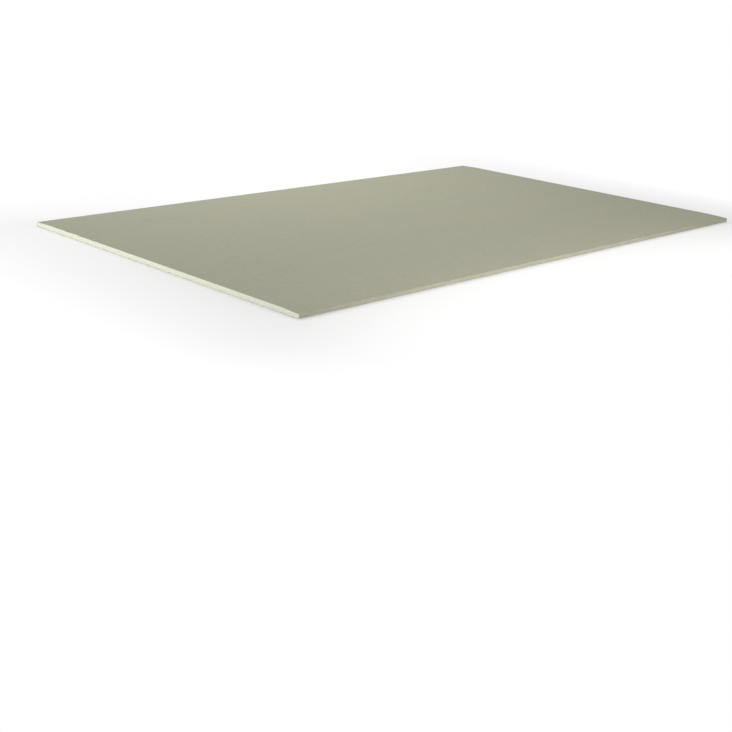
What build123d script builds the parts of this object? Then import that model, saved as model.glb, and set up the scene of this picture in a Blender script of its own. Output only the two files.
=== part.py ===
from build123d import *
import os

# Drywall sheet with two tapered long edges: a gypsum core between two papers.
# The face paper covers the front, wraps both long edges and is folded under as a flap.
# The back paper lies flat over the back and laps onto the flaps. The ends are cut square,
# so that the core and the paper edges show there.
# X runs along the sheet, Y across it and Z up from the back, on which the sheet lies.

# Overall size
board_length = 2000.0
board_width = 1250.0
board_thickness = 15.0

# Tapered long edges, sunk so that a filled joint comes out flush with the face
taper_width = 70.0
taper_depth = 2.5
shoulder_radius = 600.0

# Papers
face_paper_thickness = 0.35
back_paper_thickness = 0.35
flap_width = 28.0
back_paper_margin = 9.0

# Rounded arrises of the core, which the face paper is folded round
core_face_arris_radius = 0.9
core_back_arris_radius = 0.8

# Worked out from the sizes above
half_length = board_length / 2
half_width = board_width / 2
edge_top = board_thickness - taper_depth
taper_start = half_width - taper_width
face_arris_radius = core_face_arris_radius + face_paper_thickness
back_arris_radius = core_back_arris_radius + face_paper_thickness

os.makedirs("parts", exist_ok=True)

# Section of everything that the face paper encloses, the paper itself included
with BuildSketch(Plane.YZ) as wrapped_section:
    with BuildLine():
        Polyline(
            (-half_width, back_paper_thickness),
            (half_width, back_paper_thickness),
            (half_width, edge_top),
            (taper_start, board_thickness),
            (-taper_start, board_thickness),
            (-half_width, edge_top),
            close=True,
        )
    make_face()
    shoulders = wrapped_section.vertices().filter_by_position(Axis.Y, board_thickness, board_thickness)
    fillet(shoulders, radius=shoulder_radius)
    face_arrises = wrapped_section.vertices().filter_by_position(Axis.Y, edge_top, edge_top)
    fillet(face_arrises, radius=face_arris_radius)
    back_arrises = wrapped_section.vertices().filter_by_position(
        Axis.Y, back_paper_thickness, back_paper_thickness
    )
    fillet(back_arrises, radius=back_arris_radius)

# Section of the core: one paper thickness inside that outline, and down onto the back paper
# between the two flaps
with BuildSketch(Plane.YZ) as core_section:
    add(wrapped_section.sketch_local)
    offset(amount=-face_paper_thickness, mode=Mode.REPLACE)
    with Locations((0, back_paper_thickness)):
        Rectangle(
            board_width - 2 * flap_width,
            face_paper_thickness,
            align=(Align.CENTER, Align.MIN),
        )

with BuildPart() as gypsum_core:
    extrude(core_section.sketch, amount=half_length, both=True)
gypsum_core.part.label = "gypsum_core"
export_step(gypsum_core.part, "parts/gypsum_core.step")

# Face paper: what lies between the wrapped outline and the core
with BuildPart() as face_paper:
    with BuildSketch(Plane.YZ):
        add(wrapped_section.sketch_local)
        add(core_section.sketch_local, mode=Mode.SUBTRACT)
    extrude(amount=half_length, both=True)
face_paper.part.label = "face_paper"
export_step(face_paper.part, "parts/face_paper.step")

# Back paper: one flat strip, whose edges lap over the flaps of the face paper
with BuildPart() as back_paper:
    with BuildSketch(Plane.XY):
        Rectangle(board_length, board_width - 2 * back_paper_margin)
    extrude(amount=back_paper_thickness)
back_paper.part.label = "back_paper"
export_step(back_paper.part, "parts/back_paper.step")
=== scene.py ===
"""Drywall sheet: a pitted gypsum core, wrapped in face paper and lined with back paper."""

import math

import bmesh
import bpy
import numpy as np
from bpy.props import FloatProperty, FloatVectorProperty, IntProperty, PointerProperty
from mathutils import Matrix, Vector


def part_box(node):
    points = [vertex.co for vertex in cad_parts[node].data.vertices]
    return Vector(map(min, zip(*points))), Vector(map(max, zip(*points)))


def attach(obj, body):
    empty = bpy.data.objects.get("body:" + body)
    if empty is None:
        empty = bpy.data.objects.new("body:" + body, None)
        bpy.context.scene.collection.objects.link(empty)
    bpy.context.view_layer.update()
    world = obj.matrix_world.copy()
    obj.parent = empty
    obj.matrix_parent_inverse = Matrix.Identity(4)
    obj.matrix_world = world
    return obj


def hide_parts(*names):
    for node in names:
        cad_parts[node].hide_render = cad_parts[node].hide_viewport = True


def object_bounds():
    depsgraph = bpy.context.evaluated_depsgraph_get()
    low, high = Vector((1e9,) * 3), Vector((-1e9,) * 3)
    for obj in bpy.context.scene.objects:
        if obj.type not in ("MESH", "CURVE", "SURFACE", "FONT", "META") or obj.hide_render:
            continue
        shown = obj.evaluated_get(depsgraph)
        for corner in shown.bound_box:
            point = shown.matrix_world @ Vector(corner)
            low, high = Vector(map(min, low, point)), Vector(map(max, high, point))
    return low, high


bl_info = {
    "name": "Drywall Sheet",
    "version": (1, 0, 0),
    "blender": (4, 5, 0),
    "location": "3D View > Sidebar > Drywall",
    "description": "Builds a tapered-edge drywall sheet: its core, its two papers and a plain stage",
    "category": "Add Mesh",
}

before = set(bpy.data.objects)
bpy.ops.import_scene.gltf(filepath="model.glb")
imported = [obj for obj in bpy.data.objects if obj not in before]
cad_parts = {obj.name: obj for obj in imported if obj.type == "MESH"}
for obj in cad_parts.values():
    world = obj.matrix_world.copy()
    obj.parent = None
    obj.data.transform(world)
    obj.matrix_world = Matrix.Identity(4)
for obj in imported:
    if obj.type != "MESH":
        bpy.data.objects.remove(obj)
cad_low, cad_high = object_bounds()
core_low, core_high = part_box("gypsum_core")
wrap_low, wrap_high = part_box("face_paper")
liner_low, liner_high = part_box("back_paper")

MM = 0.001
BODY = "root"
HALF_LENGTH = wrap_high.x
HALF_WIDTH = wrap_high.y
THICKNESS = wrap_high.z
FACE_PAPER = wrap_high.z - core_high.z
BACK_PAPER = liner_high.z - liner_low.z


# Sizes and colours that a user would change


class BoardSettings(bpy.types.PropertyGroup):
    """The sheet's section, which both the core and the face paper follow."""

    taper_width: FloatProperty(
        name="Taper Width",
        description="How far each thinned long edge reaches into the face",
        default=70 * MM,
        unit="LENGTH",
    )
    taper_depth: FloatProperty(
        name="Taper Depth",
        description="How much thinner the sheet is at its long edges",
        default=2.5 * MM,
        unit="LENGTH",
    )
    shoulder_radius: FloatProperty(
        name="Shoulder Radius",
        description="Soft bend where the flat face turns down into the taper",
        default=600 * MM,
        unit="LENGTH",
    )
    face_arris: FloatProperty(
        name="Face Arris",
        description="Rounding of the core where the taper meets the long edge",
        default=0.9 * MM,
        unit="LENGTH",
    )
    back_arris: FloatProperty(
        name="Back Arris",
        description="Rounding of the core where the long edge meets the back",
        default=0.8 * MM,
        unit="LENGTH",
    )
    flap_width: FloatProperty(
        name="Flap Width",
        description="Face paper folded under the back along each long edge",
        default=28 * MM,
        unit="LENGTH",
    )


class CoreSettings(bpy.types.PropertyGroup):
    """The gypsum core and its cut ends."""

    colour: FloatVectorProperty(
        name="Gypsum",
        description="Set gypsum where it was cut",
        subtype="COLOR",
        default=(0.829, 0.835, 0.711),
    )
    # Painted shade: the colour laid into the air pits and fine pores to stand in for the shade down in
    # them
    shade: FloatVectorProperty(
        name="Pit Shade",
        description="Gypsum down in the air pits",
        subtype="COLOR",
        default=(0.660, 0.660, 0.545),
    )
    recess: FloatProperty(
        name="Recess",
        description="How far the core is cut back behind the paper's rim",
        default=0.18 * MM,
        unit="LENGTH",
    )
    tear: FloatProperty(
        name="Tear",
        description="Roughness that the knife leaves on the cut end",
        default=0.22 * MM,
        unit="LENGTH",
    )
    pits: IntProperty(
        name="Air Pits",
        description="Opened air bubbles on each cut end",
        default=900,
    )
    pit_radius: FloatProperty(
        name="Pit Radius",
        description="Radius of the largest air pit",
        default=1.5 * MM,
        unit="LENGTH",
    )
    mesh_pitch: FloatProperty(
        name="Mesh Pitch",
        description="Spacing of the points across a cut end",
        default=0.68 * MM,
        unit="LENGTH",
    )


class PaperSettings(bpy.types.PropertyGroup):
    """The two papers."""

    face: FloatVectorProperty(
        name="Face Paper",
        description="Grey-green paper of the front",
        subtype="COLOR",
        default=(0.367, 0.363, 0.275),
    )
    back: FloatVectorProperty(
        name="Back Paper",
        description="Coarser grey-brown paper of the back",
        subtype="COLOR",
        default=(0.330, 0.305, 0.240),
    )
    fray: FloatProperty(
        name="Fray",
        description="Unevenness of a cut rim of paper",
        default=0.3 * MM,
        unit="LENGTH",
    )
    ripple: FloatProperty(
        name="Ripple",
        description="Depth of the gentle hollows that drying leaves in the face",
        default=0.12 * MM,
        unit="LENGTH",
    )
    edge_wander: FloatProperty(
        name="Edge Wander",
        description="How far the slit edge of the back paper strays from straight",
        default=0.7 * MM,
        unit="LENGTH",
    )
    mesh_pitch: FloatProperty(
        name="Mesh Pitch",
        description="Spacing of the points across the face paper",
        default=1.3 * MM,
        unit="LENGTH",
    )


class StageSettings(bpy.types.PropertyGroup):
    """Floor, light and camera."""

    floor: FloatVectorProperty(
        name="Floor",
        description="Pale floor as it lights the sheet",
        subtype="COLOR",
        default=(0.80, 0.80, 0.78),
    )
    floor_radius: FloatProperty(
        name="Floor Radius",
        description="Radius of the round floor",
        default=2.4,
        unit="LENGTH",
    )
    floor_margin: FloatProperty(
        name="Floor Margin",
        description="How far from the sheet the floor has faded into the white background",
        default=0.4,
        unit="LENGTH",
    )
    sky: FloatProperty(
        name="Sky",
        description="Strength of the even light from all round",
        default=0.25,
    )
    front_power: FloatProperty(
        name="Front Light",
        description="Power of the low soft light in front of the near long edge",
        default=12.3,
        unit="POWER",
    )
    end_power: FloatProperty(
        name="End Light",
        description="Power of the low soft light in front of the near end",
        default=31.2,
        unit="POWER",
    )
    top_power: FloatProperty(
        name="Top Light",
        description="Power of the soft light over the far long edge",
        default=44.1,
        unit="POWER",
    )
    heading: FloatProperty(
        name="Heading",
        description="Camera's place round the sheet",
        default=math.radians(-44.714),
        subtype="ANGLE",
    )
    pitch: FloatProperty(
        name="Pitch",
        description="How far the camera looks down",
        default=math.radians(18.917),
        subtype="ANGLE",
    )
    roll: FloatProperty(
        name="Roll",
        description="How far the camera is turned about its line of sight",
        default=math.radians(2.405),
        subtype="ANGLE",
    )
    place: FloatVectorProperty(
        name="Camera Place",
        description="Where the camera stands",
        subtype="TRANSLATION",
        unit="LENGTH",
        default=(-2.8759, -2.7590, 0.8586),
    )
    focal_pixels: FloatProperty(
        name="Focal Length in Pixels",
        description="Focal length in pixels of a picture as wide as Frame Pixels",
        default=1213.7,
    )
    frame_pixels: FloatProperty(
        name="Frame Pixels",
        description="Width and height of the picture",
        default=732.0,
    )


# Shader maths

WHITE = (1.0, 1.0, 1.0)
NEUTRAL = 0.5
DRY_SHEEN = 0.3
MIX_FACTOR, MIX_FIRST, MIX_SECOND, MIX_RESULT = 0, 6, 7, 2


class Value:
    """A socket of a shader tree that can be added, subtracted and multiplied like a number."""

    def __init__(self, tree, socket):
        self.tree = tree
        self.socket = socket

    def math(self, operation, *values, clamp=False):
        settings = {"operation": operation, "use_clamp": clamp}
        return self.tree.node("ShaderNodeMath", settings, dict(enumerate(values)))

    def __add__(self, other):
        return self.math("ADD", self, other)

    def __radd__(self, other):
        return self.math("ADD", other, self)

    def __sub__(self, other):
        return self.math("SUBTRACT", self, other)

    def __rsub__(self, other):
        return self.math("SUBTRACT", other, self)

    def __mul__(self, other):
        return self.math("MULTIPLY", self, other)

    def __rmul__(self, other):
        return self.math("MULTIPLY", other, self)

    def __abs__(self):
        return self.math("ABSOLUTE", self)

    def clamped(self):
        """The value, kept from 0 to 1."""
        return self.math("ADD", self, 0.0, clamp=True)

    def between(self, low, high):
        """0 at low, 1 at high and straight in between."""
        inputs = {"Value": self, "From Min": low, "From Max": high}
        return self.tree.node("ShaderNodeMapRange", {"clamp": True}, inputs)


class Tree:
    """A node tree that is written as expressions."""

    def __init__(self, nodes_owner):
        nodes_owner.use_nodes = True
        self.tree = nodes_owner.node_tree
        self.tree.nodes.clear()

    def node(self, kind, settings=None, inputs=None, output=0):
        """Adds one node, its settings first and then its inputs, and returns one of its outputs."""
        made = self.tree.nodes.new(kind)
        for name, value in (settings or {}).items():
            setattr(made, name, value)
        for name, value in (inputs or {}).items():
            if isinstance(value, Value):
                self.tree.links.new(value.socket, made.inputs[name])
            else:
                made.inputs[name].default_value = value
        if not made.outputs:
            return None
        return Value(self, made.outputs[output])

    def vector(self, operation, *values, output="Vector"):
        """Maths on vectors."""
        settings = {"operation": operation}
        return self.node("ShaderNodeVectorMath", settings, dict(enumerate(values)), output)

    def position(self, per_metre=(1.0, 1.0, 1.0)):
        """The place on the sheet, with so many units to the metre along, across and up."""
        place = self.node("ShaderNodeTexCoord", output="Object")
        return self.vector("MULTIPLY", place, per_metre)

    def from_middle(self, axis):
        """How far a point is from the sheet's middle along one axis."""
        place = self.node("ShaderNodeTexCoord", output="Object")
        return abs(self.node("ShaderNodeSeparateXYZ", None, {"Vector": place}, axis))

    def seen_directly(self):
        """1 for what the camera sees, straight or in a reflection or through glass, and 0 for light."""
        rays = ("Is Camera Ray", "Is Glossy Ray", "Is Transmission Ray")
        seen, glossy, through = (self.node("ShaderNodeLightPath", output=ray) for ray in rays)
        return (seen + glossy + through).clamped()

    def noise(self, place, scale=1.0, detail=2.0, roughness=0.5):
        """Soft noise from 0 to 1, whose scale is its number of blotches to a unit of place."""
        inputs = {"Vector": place, "Scale": scale, "Detail": detail, "Roughness": roughness}
        return self.node("ShaderNodeTexNoise", {"noise_dimensions": "3D"}, inputs)

    def specks(self, spacing, share, radius, ragged):
        """1 in small ragged spots, 0 elsewhere.

        The sheet is cut up into cells about a spacing wide. A share of them has a spot, of up to
        the radius, and the noise called ragged makes its rim uneven.
        """
        soft_rim = 0.3 * radius
        flat = self.position((1.0, 1.0, 0.0))
        cells = {"Vector": flat, "Scale": 1.0 / spacing}
        centre = self.node("ShaderNodeTexVoronoi", {"voronoi_dimensions": "2D"}, cells, "Position")
        by_cell = {"Vector": centre}
        chance = self.node("ShaderNodeTexWhiteNoise", {"noise_dimensions": "2D"}, by_cell, "Value")
        reach = radius - chance * (radius / share)
        away = self.vector("DISTANCE", flat, centre, output="Value")
        return (reach - away + (ragged - NEUTRAL) * radius).between(0.0, soft_rim)

    def mix(self, factor, first, second, blend="MIX"):
        """A colour between two colours."""
        settings = {"data_type": "RGBA", "blend_type": blend}
        inputs = {MIX_FACTOR: factor, MIX_FIRST: opaque(first), MIX_SECOND: opaque(second)}
        return self.node("ShaderNodeMix", settings, inputs, MIX_RESULT)

    def mottled(self, colour, contrast, *layers):
        """A colour made darker and lighter by layers, each of them a noise and its weight."""
        depth = sum(((noise - NEUTRAL) * weight for noise, weight in layers), NEUTRAL)
        dark, light = scaled(colour, 1.0 - contrast), scaled(colour, 1.0 + contrast)
        return self.mix(depth.clamped(), dark, light)

    def marked(self, tone, marks, strength, shade):
        """A tone with marks of a shade on it."""
        return self.mix(marks * strength, tone, shade)

    def surface(self, colour, roughness, height, relief):
        """A matt surface, whose height from 0 to 1 stands out by its relief."""
        bump = self.node("ShaderNodeBump", None, {"Height": height, "Distance": relief, "Strength": 1.0})
        inputs = {"Base Color": colour, "Roughness": roughness, "Normal": bump}
        inputs["Specular IOR Level"] = DRY_SHEEN
        shader = self.node("ShaderNodeBsdfPrincipled", None, inputs)
        self.node("ShaderNodeOutputMaterial", None, {"Surface": shader})


def opaque(colour):
    """A colour with its alpha, or a link left as it is."""
    return colour if isinstance(colour, Value) else (*colour, 1.0)


def scaled(colour, share):
    """A colour made darker or lighter."""
    return tuple(channel * share for channel in colour)


# Materials

PAPER_CONTRAST = 0.40
GYPSUM_CONTRAST = 0.28
FACE_ROUGHNESS = 0.80
BACK_ROUGHNESS = 0.86
GYPSUM_ROUGHNESS = 0.92
ROUGHNESS_SPREAD = 0.12
FIBRE_RELIEF = 0.6
PORE_RELIEF = 0.6
COOL_TINT = (0.99, 1.0, 1.01)
WARM_TINT = (1.01, 1.0, 0.99)
RUB_START = 1.5 * MM
RUB_FULL = 0.3 * MM
# Depths behind the rim at which the painted shade in the air pits starts and is full
PIT_SHADE_START = 0.4 * MM
PIT_SHADE_FULL = 1.3 * MM
FLOOR_GLOW = 0.25

# Noise at which each of these starts to show and shows in full
CLOUD_RANGE = (0.3, 0.7)
FACE_FLECKS = (0.68, 0.80)
BACK_DARK_FLECKS = (0.70, 0.78)
BACK_LIGHT_FLECKS = (0.72, 0.80)
SCUFF_RANGE = (0.50, 0.72)

# Shares of a cell at which a pore ends and the solid gypsum round it starts
PORE_WALL = (0.12, 0.34)


def face_paper_material(colour):
    """Smooth recycled paper: faint clouds, bands and lines, short fibres, rare marks, rubbed edges."""
    material = bpy.data.materials.new("grey_green_face_paper")
    tree = Tree(material)
    place = tree.position()
    clouds = tree.noise(place, scale=5.0, detail=3.0)
    formation = tree.noise(place, scale=55.0, detail=4.0, roughness=0.6)
    lines = tree.noise(tree.position((0.5, 60.0, 60.0)), detail=3.0)
    bands = tree.noise(tree.position((0.2, 7.0, 7.0)), detail=1.0)
    fibres = tree.noise(tree.position((220.0, 900.0, 900.0)), detail=3.0, roughness=0.6)
    flecks = tree.noise(tree.position((700.0, 1100.0, 1100.0)), detail=1.0)
    layers = ((formation, 0.30), (fibres, 0.20), (lines, 0.06), (bands, 0.06))
    tone = tree.mottled(colour, PAPER_CONTRAST, *layers)
    tint = tree.mix(clouds.between(*CLOUD_RANGE), COOL_TINT, WARM_TINT)
    tone = tree.mix(1.0, tone, tint, "MULTIPLY")
    dark_flecks, light_flecks = flecks.between(*FACE_FLECKS), (1.0 - flecks).between(*FACE_FLECKS)
    tone = tree.marked(tone, dark_flecks, strength=0.50, shade=scaled(colour, 0.35))
    tone = tree.marked(tone, light_flecks, strength=0.50, shade=scaled(colour, 1.7))
    dirt = tree.specks(spacing=0.11, share=0.12, radius=2.2 * MM, ragged=fibres)
    crumbs = tree.specks(spacing=0.13, share=0.12, radius=2.8 * MM, ragged=fibres)
    tone = tree.marked(tone, dirt, strength=0.8, shade=scaled(colour, 0.3))
    tone = tree.marked(tone, crumbs, strength=0.7, shade=scaled(colour, 2.0))
    at_edge = tree.from_middle("Y").between(HALF_WIDTH - RUB_START, HALF_WIDTH - RUB_FULL)
    scuffs = tree.noise(tree.position((18.0, 90.0, 260.0)), detail=4.0, roughness=0.6)
    rubbed = scuffs.between(*SCUFF_RANGE) * at_edge
    tone = tree.marked(tone, rubbed, strength=0.45, shade=scaled(colour, 1.5))
    roughness = FACE_ROUGHNESS + (formation - NEUTRAL) * ROUGHNESS_SPREAD
    height = fibres * FIBRE_RELIEF + formation * (1.0 - FIBRE_RELIEF)
    tree.surface(tone, roughness, height, relief=0.05 * MM)
    return material


def back_paper_material(colour):
    """Coarse unsized paper: strong clouds, long fibres and many flecks."""
    material = bpy.data.materials.new("grey_brown_back_paper")
    tree = Tree(material)
    place = tree.position()
    clouds = tree.noise(place, scale=9.0, detail=4.0, roughness=0.6)
    formation = tree.noise(place, scale=90.0, detail=5.0, roughness=0.65)
    fibres = tree.noise(tree.position((160.0, 700.0, 700.0)), detail=4.0, roughness=0.65)
    flecks = tree.noise(tree.position((300.0, 480.0, 480.0)), detail=1.0)
    layers = ((clouds, 0.10), (formation, 0.20), (fibres, 0.18))
    tone = tree.mottled(colour, PAPER_CONTRAST, *layers)
    dark_flecks = flecks.between(*BACK_DARK_FLECKS)
    light_flecks = (1.0 - flecks).between(*BACK_LIGHT_FLECKS)
    tone = tree.marked(tone, dark_flecks, strength=0.5, shade=scaled(colour, 0.40))
    tone = tree.marked(tone, light_flecks, strength=0.45, shade=scaled(colour, 1.6))
    roughness = BACK_ROUGHNESS + (formation - NEUTRAL) * ROUGHNESS_SPREAD
    height = fibres * FIBRE_RELIEF + formation * (1.0 - FIBRE_RELIEF)
    tree.surface(tone, roughness, height, relief=0.09 * MM)
    return material


def gypsum_material(colour, shade):
    """Dry cut gypsum: chalky, with soft blotches, knife lines, and painted shade in its fine pores and
    down its air pits.
    """
    material = bpy.data.materials.new("cut_gypsum")
    tree = Tree(material)
    place = tree.position()
    blotches = tree.noise(place, scale=35.0, detail=4.0, roughness=0.6)
    grain = tree.noise(place, scale=1400.0, detail=3.0, roughness=0.7)
    lines = tree.noise(tree.position((60.0, 900.0, 60.0)), detail=3.0)
    cells = {"Vector": place, "Scale": 1100.0}
    solid = tree.node("ShaderNodeTexVoronoi", {"feature": "F1"}, cells).between(*PORE_WALL)
    layers = ((blotches, 0.12), (grain, 0.14), (lines, 0.08))
    tone = tree.mottled(colour, GYPSUM_CONTRAST, *layers)
    # Painted shade in the fine pores: they are darkened towards the shade colour
    tone = tree.marked(tone, 1.0 - solid, strength=0.55, shade=shade)
    # Painted shade in the air pits: the further a point lies behind the paper's rim, the darker it is
    # painted
    behind_rim = HALF_LENGTH - tree.from_middle("X")
    painted_pit_shade = behind_rim.between(PIT_SHADE_START, PIT_SHADE_FULL)
    tone = tree.marked(tone, painted_pit_shade, strength=0.8, shade=shade)
    height = grain * (1.0 - PORE_RELIEF) + solid * PORE_RELIEF
    tree.surface(tone, GYPSUM_ROUGHNESS, height, relief=0.12 * MM)
    return material


def floor_material(colour, margin):
    """Pale floor with the sheet's shadow, which is seen to fade into white within a margin round it."""
    material = bpy.data.materials.new("pale_floor")
    tree = Tree(material)
    seen = tree.seen_directly()
    tone = tree.mix(seen, colour, WHITE)
    matt = tree.node("ShaderNodeBsdfDiffuse", None, {"Color": tone})
    white = tree.node("ShaderNodeEmission", None, {"Color": opaque(WHITE)})
    away = tree.vector("ABSOLUTE", tree.position())
    away = tree.vector("SUBTRACT", away, (HALF_LENGTH, HALF_WIDTH, 0.0))
    away = tree.vector("MAXIMUM", away, (0.0, 0.0, 0.0))
    away = tree.vector("LENGTH", away, output="Value")
    fade = (FLOOR_GLOW + away.between(0.0, margin) * (1.0 - FLOOR_GLOW)) * seen
    shader = tree.node("ShaderNodeMixShader", None, {0: fade, 1: matt, 2: white})
    tree.node("ShaderNodeOutputMaterial", None, {"Surface": shader})
    return material


# Making meshes

SHARP_ANGLE = math.radians(40)
RIGHT_ANGLE = math.pi / 2
SHOULDER_STEPS = 12
FACE_ARRIS_STEPS = 8
BACK_ARRIS_STEPS = 6


def eased(share):
    """A share from 0 to 1 that starts and ends slowly."""
    return share * share * (3.0 - 2.0 * share)


def wander(places, pitch, rng):
    """Smooth random values from -1 to 1 along a line of places, one swing to each pitch."""
    start = places.min()
    knots = math.ceil((places.max() - start) / pitch) + 2
    values = rng.uniform(-1.0, 1.0, knots)
    share = (places - start) / pitch
    low = np.floor(share).astype(int)
    ease = eased(share - low)
    return values[low] * (1.0 - ease) + values[low + 1] * ease


def rough(shape, pitches, rng):
    """A field of random values from -1 to 1, one swing to so many of its points each way."""
    coarse_shape = [math.ceil(count / pitch) + 2 for count, pitch in zip(shape, pitches)]
    coarse = rng.uniform(-1.0, 1.0, coarse_shape)
    along, up = (np.arange(count) / pitch for count, pitch in zip(shape, pitches))
    i, j = np.floor(along).astype(int), np.floor(up).astype(int)
    a, b = eased(along - i)[:, None], eased(up - j)[None, :]
    low = coarse[i][:, j] * (1.0 - b) + coarse[i][:, j + 1] * b
    high = coarse[i + 1][:, j] * (1.0 - b) + coarse[i + 1][:, j + 1] * b
    return low * (1.0 - a) + high * a


def steps(start, end, pitch):
    """Evenly spaced numbers from start to end, about a pitch apart, without the last."""
    count = max(1, math.ceil(abs(end - start) / pitch))
    return np.linspace(start, end, count + 1)[:-1]


def arc(centre, radius, angles, count):
    """Points and outward normals on an arc of the section, angles from +Y towards +Z."""
    turns = np.linspace(*angles, count + 1)
    normals = np.column_stack([np.cos(turns), np.sin(turns)])
    return np.array(centre) + radius * normals, normals


def straight(start, end, normal, pitch):
    """Points and outward normals on a straight stretch of the section, without its two ends."""
    share = steps(0.0, 1.0, pitch / math.dist(start, end))[1:, None]
    points = np.array(start) * (1.0 - share) + np.array(end) * share
    return points, np.tile(normal, (len(points), 1))


def wrapped_profile(board, pitch):
    """Points and outward normals of the wrapped sheet's section, from flap to flap over the face."""
    slope = math.atan2(board.taper_depth, board.taper_width)
    face_radius = board.face_arris + FACE_PAPER
    back_radius = board.back_arris + FACE_PAPER
    shoulder_reach = board.shoulder_radius * math.tan(slope / 2)
    arris_reach = face_radius * math.tan((RIGHT_ANGLE - slope) / 2)
    shoulder_y = HALF_WIDTH - board.taper_width - shoulder_reach
    arris_z = THICKNESS - board.taper_depth - arris_reach
    shoulder_centre = (shoulder_y, THICKNESS - board.shoulder_radius)
    face_centre = (HALF_WIDTH - face_radius, arris_z)
    back_centre = (HALF_WIDTH - back_radius, wrap_low.z + back_radius)
    down_taper = RIGHT_ANGLE - slope
    bends = [
        arc(shoulder_centre, board.shoulder_radius, (RIGHT_ANGLE, down_taper), SHOULDER_STEPS),
        arc(face_centre, face_radius, (down_taper, 0.0), FACE_ARRIS_STEPS),
        arc(back_centre, back_radius, (0.0, -RIGHT_ANGLE), BACK_ARRIS_STEPS),
        (np.array([(HALF_WIDTH - board.flap_width, wrap_low.z)]), np.array([(0.0, -1.0)])),
    ]
    half = [bends[0]]
    for before, after in zip(bends, bends[1:]):
        half += [straight(before[0][-1], after[0][0], before[1][-1], pitch), after]
    points, normals = (np.vstack([part[i] for part in half]) for i in (0, 1))
    flat, up = straight((-shoulder_y, THICKNESS), (shoulder_y, THICKNESS), (0.0, 1.0), pitch)
    mirror = np.array([-1.0, 1.0])
    points = np.vstack([points[::-1] * mirror, flat, points])
    normals = np.vstack([normals[::-1] * mirror, up, normals])
    return points, normals


def grid_faces(index):
    """Quads over a grid of point numbers."""
    corners = [index[:-1, :-1], index[1:, :-1], index[1:, 1:], index[:-1, 1:]]
    return np.stack(corners, -1).reshape(-1, 4)


def closed_skin(outer, inner):
    """Points and quads of one closed skin between two grids of points, stations by places."""
    count = outer.shape[1]
    points = np.concatenate([outer, inner[:, ::-1]], axis=1)
    index = np.arange(points.shape[0] * points.shape[1]).reshape(points.shape[:2])
    faces = [grid_faces(np.concatenate([index, index[:, :1]], axis=1))]
    for end in (index[0], index[-1]):
        faces.append(grid_faces(np.stack([end[:count], end[:count - 1:-1]])))
    return points.reshape(-1, 3), np.vstack(faces)


def make_piece(name, points, faces, material, slot, node):
    """A mesh piece in place of its CAD node."""
    mesh = bpy.data.meshes.new(name)
    mesh.from_pydata(points.tolist(), [], faces.tolist())
    edit = bmesh.new()
    edit.from_mesh(mesh)
    bmesh.ops.recalc_face_normals(edit, faces=edit.faces)
    edit.to_mesh(mesh)
    edit.free()
    mesh.shade_smooth()
    mesh.set_sharp_from_angle(angle=SHARP_ANGLE)
    mesh.materials.append(material)
    piece = bpy.data.objects.new(name, mesh)
    bpy.context.scene.collection.objects.link(piece)
    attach(piece, BODY)
    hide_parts(node)


# The core

CORE_SEED = 11
SIDEWAYS = 1e-6
PATCH_SHARE = 0.5
LINE_SHARE = 0.5
GRAIN_SHARE = 0.35
TEAR_MEAN = 0.6
CRUMBLE_FROM = 0.72
CRUMBLE_STEEPNESS = 1.6 * MM
PIT_CROWDING = 1.6
PIT_SPREAD = (0.35, 1.0)
LARGE_PIT_RARITY = 2.2
PIT_DEPTH_SHARE = 0.85
LEAST_DEPTH = 0.03 * MM

# Sizes across and up of what the knife leaves on a cut end
TORN_PATCH = (4 * MM, 4 * MM)
KNIFE_LINE = (1.2 * MM, 9 * MM)
CRUMBLED_SPOT = (9 * MM, 3 * MM)


def end_depths(across, heights, core, rng):
    """How far each point of a cut end lies behind the rim of the paper round it.

    The knife leaves torn patches, upright lines and loose grains, a few spots crumble, and the
    opened air pits are round bowls.
    """

    def relief(size):
        return rough(heights.shape, [length / core.mesh_pitch for length in size], rng)

    tear = PATCH_SHARE * relief(TORN_PATCH)
    tear += LINE_SHARE * relief(KNIFE_LINE)
    tear += GRAIN_SHARE * rng.uniform(-1.0, 1.0, heights.shape)
    depths = core.recess + core.tear * (TEAR_MEAN + tear)
    depths += CRUMBLE_STEEPNESS * np.clip(relief(CRUMBLED_SPOT) - CRUMBLE_FROM, 0.0, None)
    low, high = heights.min(axis=1), heights.max(axis=1)
    centres = rng.uniform(across[0], across[-1], core.pits)
    levels = rng.beta(PIT_CROWDING, PIT_CROWDING, core.pits)
    radii = core.pit_radius * rng.uniform(*PIT_SPREAD, core.pits) ** LARGE_PIT_RARITY
    for centre, level, radius in zip(centres, levels, np.maximum(radii, core.mesh_pitch)):
        first, last = np.searchsorted(across, (centre - radius, centre + radius))
        z = low[first] + level * (high[first] - low[first])
        distance = np.hypot(across[first:last, None] - centre, heights[first:last] - z)
        bowl = PIT_DEPTH_SHARE * np.sqrt(np.clip(radius**2 - distance**2, 0.0, None))
        depths[first:last] = np.maximum(depths[first:last], core.recess + bowl)
    return np.maximum(depths, LEAST_DEPTH)


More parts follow.
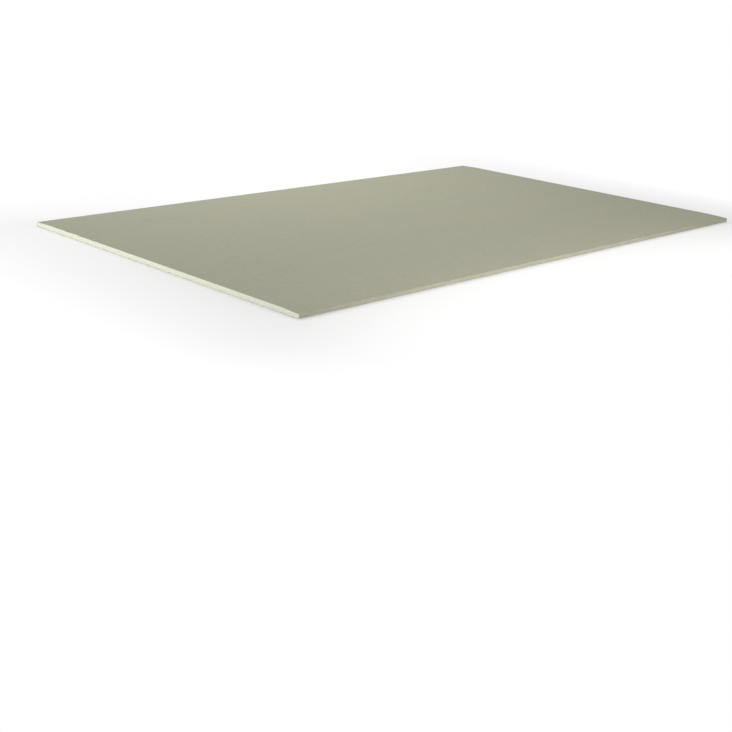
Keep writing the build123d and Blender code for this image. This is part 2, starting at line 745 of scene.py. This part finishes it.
def make_core(board, core):
    """The core as one closed solid: two torn, pitted ends joined along the sheet's length."""
    rng = np.random.default_rng(CORE_SEED)
    outline, normals = wrapped_profile(board, core.mesh_pitch)
    outline = outline - FACE_PAPER * normals
    columns = math.ceil(2 * core_high.y / core.mesh_pitch)
    across = np.linspace(core_low.y, core_high.y, columns + 1)
    upper, lower = outline[normals[:, 1] > SIDEWAYS], outline[normals[:, 1] < -SIDEWAYS]
    top = np.interp(across, upper[:, 0], upper[:, 1])
    bottom = np.interp(across, *lower[np.argsort(lower[:, 0])].T)
    bottom[np.abs(across) < HALF_WIDTH - board.flap_width] = core_low.z
    rows = math.ceil(THICKNESS / core.mesh_pitch)
    share = np.linspace(0.0, 1.0, rows + 1)
    heights = bottom[:, None] + (top - bottom)[:, None] * share[None, :]
    ends = []
    for side in (-1.0, 1.0):
        x = side * (HALF_LENGTH - end_depths(across, heights, core, rng))
        y = np.broadcast_to(across[:, None], heights.shape)
        ends.append(np.stack([x, y, heights], -1))
    points = np.stack(ends)
    near, far = np.arange(points[..., 0].size).reshape(points.shape[:3])
    rims = []
    for index in (near, far):
        rim = [index[:-1, 0], index[-1, :-1], index[:0:-1, -1], index[0, :0:-1], index[:1, 0]]
        rims.append(np.concatenate(rim))
    faces = np.vstack([grid_faces(near), grid_faces(far), grid_faces(np.stack(rims))])
    material = gypsum_material(core.colour, core.shade)
    make_piece("core_slab", points.reshape(-1, 3), faces, material, "gypsum", "gypsum_core")


# The papers

FACE_PAPER_SEED = 23
BACK_PAPER_SEED = 37
RIM_MIDDLE = 0.5
WAVE_SHARE = 0.3
WAVE_PITCH = 7 * MM
RIPPLE_SHARE = 0.2
RIPPLE_PITCH = 2.6 * MM
NOTCH_PITCH = 4 * MM
NOTCH_RARITY = 0.93
NOTCH_STEEPNESS = 12.0
FRAY_REACH = 8 * MM
STATIONS_AT_END = (0.0, 1 * MM, 3 * MM, 8 * MM, 20 * MM, 45 * MM)
STATIONS_EVEN_FROM = 90 * MM
STATION_PITCH = 80 * MM
LOOSE_STRIP = 20 * MM
SLIT_WAVE = 70 * MM
PRESSED_STRIP = 5 * MM
PRESSED_SHARE = 0.6

# How many stations long and how wide the hollows of the face are
BROAD_HOLLOW = (4.0, 190 * MM)
SMALL_HOLLOW = (2.0, 60 * MM)
SMALL_HOLLOW_SHARE = 0.5


def rim_fray(places, fray, rng):
    """How far a knife-cut rim of paper stands back: in short waves, with a rare small notch."""
    back = RIM_MIDDLE + WAVE_SHARE * wander(places, WAVE_PITCH, rng)
    back += RIPPLE_SHARE * wander(places, RIPPLE_PITCH, rng)
    notch = NOTCH_STEEPNESS * np.clip(wander(places, NOTCH_PITCH, rng) - NOTCH_RARITY, 0.0, None)
    return fray * (back + notch)


def lengthwise_stations():
    """Places along the sheet, close together at the ends and wide apart in the middle."""
    near = np.array(STATIONS_AT_END)
    inner = HALF_LENGTH - STATIONS_EVEN_FROM
    middle = steps(-inner, inner, STATION_PITCH)
    return np.concatenate([near - HALF_LENGTH, middle, HALF_LENGTH - near[::-1]])


def frayed(stations, places, fray, rng):
    """Lengthwise place of each point of a paper, whose two rims stand back unevenly."""
    x = np.tile(stations[:, None], (1, len(places)))
    for side in (-1.0, 1.0):
        ease = np.clip(1.0 - (HALF_LENGTH - side * stations) / FRAY_REACH, 0.0, 1.0)
        x -= side * ease[:, None] * rim_fray(places, fray, rng)[None, :]
    return x


def make_face_paper(board, paper):
    """The face paper as one closed skin of its real thickness, folded round both long edges."""
    rng = np.random.default_rng(FACE_PAPER_SEED)
    outer, normals = wrapped_profile(board, paper.mesh_pitch)
    inner = outer - FACE_PAPER * normals
    stations = lengthwise_stations()

    def hollows(size):
        long, wide = size
        return rough((len(stations), len(outer)), (long, wide / paper.mesh_pitch), rng)

    depth = hollows(BROAD_HOLLOW)
    depth += SMALL_HOLLOW_SHARE * hollows(SMALL_HOLLOW)
    span = 2.0 * (1.0 + SMALL_HOLLOW_SHARE)
    sunk = paper.ripple * (0.5 + depth / span)
    places = np.concatenate([[0.0], np.cumsum(np.hypot(*np.diff(outer, axis=0).T))])
    x = frayed(stations, places, paper.fray, rng)
    outside = outer[None] - sunk[..., None] * normals[None]
    inside = np.broadcast_to(inner, outside.shape)
    sheets = [np.concatenate([x[..., None], side], -1) for side in (outside, inside)]
    material = face_paper_material(paper.face)
    make_piece("face_paper_wrap", *closed_skin(*sheets), material, "face_paper", "face_paper")


def make_back_paper(paper):
    """The back paper as one closed sheet, its slit edges wavy and pressed thin onto the flaps."""
    rng = np.random.default_rng(BACK_PAPER_SEED)
    stations = lengthwise_stations()
    pitch = 2 * paper.mesh_pitch
    across = np.concatenate([steps(liner_low.y, liner_high.y, pitch), [liner_high.y]])
    x = frayed(stations, across, paper.fray, rng)
    y = np.tile(across, (len(stations), 1))
    for side in (-1.0, 1.0):
        share = np.clip((side * across - liner_high.y) / LOOSE_STRIP + 1.0, 0.0, 1.0)
        y += side * paper.edge_wander * share * wander(stations, SLIT_WAVE, rng)[:, None]
    press = np.clip((np.abs(y) - liner_high.y) / PRESSED_STRIP + 1.0, 0.0, 1.0)
    top = np.full(x.shape, liner_high.z)
    bottom = liner_low.z + PRESSED_SHARE * BACK_PAPER * press
    sheets = [np.stack([x, y, z], -1) for z in (top, bottom)]
    material = back_paper_material(paper.back)
    make_piece("back_paper_liner", *closed_skin(*sheets), material, "back_paper", "back_paper")


# The stage

FLOOR_SIDES = 96
FLOOR_GAP = 0.3 * MM
SENSOR_WIDTH = 36.0
SOFT_LIGHTS = {
    "front": {"size": (1.8, 0.5), "place": (-0.07, -1.47, 0.31), "colour": (1.0, 0.98, 0.98)},
    "end": {"size": (1.2, 0.6), "place": (-3.14, 0.39, 0.455), "colour": (0.96, 1.0, 0.97)},
    "top": {"size": (2.4, 2.4), "place": (0.29, 1.21, 1.90), "colour": (0.99, 1.0, 0.98)},
}


def add_soft_light(name, power, size, place, colour):
    """A soft light of a width and a height that points at the middle of the sheet."""
    light = bpy.data.lights.new(name, "AREA")
    light.shape = "RECTANGLE"
    light.energy = power
    light.size, light.size_y = size
    light.color = colour
    lamp = bpy.data.objects.new(name, light)
    lamp.location = place
    lamp.rotation_mode = "QUATERNION"
    lamp.rotation_quaternion = (-Vector(place)).to_track_quat("-Z", "Y")
    lamp.visible_camera = False
    bpy.context.scene.collection.objects.link(lamp)


def light_world(sky):
    """Even light from all round, seen by the camera and in reflections as white."""
    world = bpy.data.worlds.new("white_surround")
    bpy.context.scene.world = world
    tree = Tree(world)
    strength = sky + tree.seen_directly() * (1.0 - sky)
    inputs = {"Color": opaque(WHITE), "Strength": strength}
    background = tree.node("ShaderNodeBackground", None, inputs)
    tree.node("ShaderNodeOutputWorld", None, {"Surface": background})


def add_floor(stage):
    """A round pale floor just under the sheet."""
    mesh = bpy.data.meshes.new("floor")
    edit = bmesh.new()
    bmesh.ops.create_circle(edit, cap_ends=True, radius=stage.floor_radius, segments=FLOOR_SIDES)
    edit.to_mesh(mesh)
    edit.free()
    mesh.materials.append(floor_material(stage.floor, stage.floor_margin))
    floor = bpy.data.objects.new("floor", mesh)
    floor.location.z = cad_low.z - FLOOR_GAP
    bpy.context.scene.collection.objects.link(floor)


def add_camera(stage):
    """The camera at the photograph's place, turn and focal length."""
    camera = bpy.data.cameras.new("camera")
    camera.sensor_width = SENSOR_WIDTH
    camera.lens = SENSOR_WIDTH * stage.focal_pixels / stage.frame_pixels
    eye = bpy.data.objects.new("camera", camera)
    level, rise = math.cos(stage.pitch), math.sin(stage.pitch)
    back = Vector((math.sin(stage.heading) * level, -math.cos(stage.heading) * level, rise))
    turn = (-back).to_track_quat("-Z", "Y").to_matrix() @ Matrix.Rotation(stage.roll, 3, "Z")
    eye.matrix_world = Matrix.Translation(stage.place) @ turn.to_4x4()
    bpy.context.scene.collection.objects.link(eye)
    bpy.context.scene.camera = eye


class DRYWALL_OT_core(bpy.types.Operator):
    """Build the gypsum core with its torn and pitted ends"""

    bl_idname = "drywall.core"
    bl_label = "Gypsum Core"

    def execute(self, context):
        scene = context.scene
        make_core(scene.drywall_board, scene.drywall_core)
        return {"FINISHED"}


class DRYWALL_OT_face_paper(bpy.types.Operator):
    """Wrap the face paper over the front and round both long edges"""

    bl_idname = "drywall.face_paper"
    bl_label = "Face Paper"

    def execute(self, context):
        scene = context.scene
        make_face_paper(scene.drywall_board, scene.drywall_paper)
        return {"FINISHED"}


class DRYWALL_OT_back_paper(bpy.types.Operator):
    """Lay the back paper over the back and the two flaps"""

    bl_idname = "drywall.back_paper"
    bl_label = "Back Paper"

    def execute(self, context):
        make_back_paper(context.scene.drywall_paper)
        return {"FINISHED"}


class DRYWALL_OT_stage(bpy.types.Operator):
    """Set the floor, the lights and the camera"""

    bl_idname = "drywall.stage"
    bl_label = "Stage"

    def execute(self, context):
        stage = context.scene.drywall_stage
        light_world(stage.sky)
        add_floor(stage)
        for side, light in SOFT_LIGHTS.items():
            add_soft_light(f"{side}_light", getattr(stage, f"{side}_power"), **light)
        add_camera(stage)
        context.scene.view_settings.view_transform = "Standard"
        return {"FINISHED"}


class DRYWALL_PT_sheet(bpy.types.Panel):
    """Steps and sizes of the drywall sheet"""

    bl_idname = "DRYWALL_PT_sheet"
    bl_label = "Drywall Sheet"
    bl_space_type = "VIEW_3D"
    bl_region_type = "UI"
    bl_category = "Drywall"

    def draw(self, context):
        for operator in OPERATORS:
            self.layout.operator(operator.bl_idname)
        for name, group in SETTINGS.items():
            box = self.layout.box()
            for prop in group.__annotations__:
                box.prop(getattr(context.scene, name), prop)


OPERATORS = (DRYWALL_OT_core, DRYWALL_OT_face_paper, DRYWALL_OT_back_paper, DRYWALL_OT_stage)
SETTINGS = {
    "drywall_board": BoardSettings,
    "drywall_core": CoreSettings,
    "drywall_paper": PaperSettings,
    "drywall_stage": StageSettings,
}


def register():
    for kind in (*SETTINGS.values(), *OPERATORS, DRYWALL_PT_sheet):
        bpy.utils.register_class(kind)
    for name, group in SETTINGS.items():
        setattr(bpy.types.Scene, name, PointerProperty(type=group))


def unregister():
    for name in SETTINGS:
        delattr(bpy.types.Scene, name)
    for kind in (DRYWALL_PT_sheet, *reversed(OPERATORS), *SETTINGS.values()):
        bpy.utils.unregister_class(kind)


def main():
    register()
    bpy.ops.drywall.core()
    bpy.ops.drywall.face_paper()
    bpy.ops.drywall.back_paper()
    bpy.ops.drywall.stage()


if __name__ == "__main__":
    main()
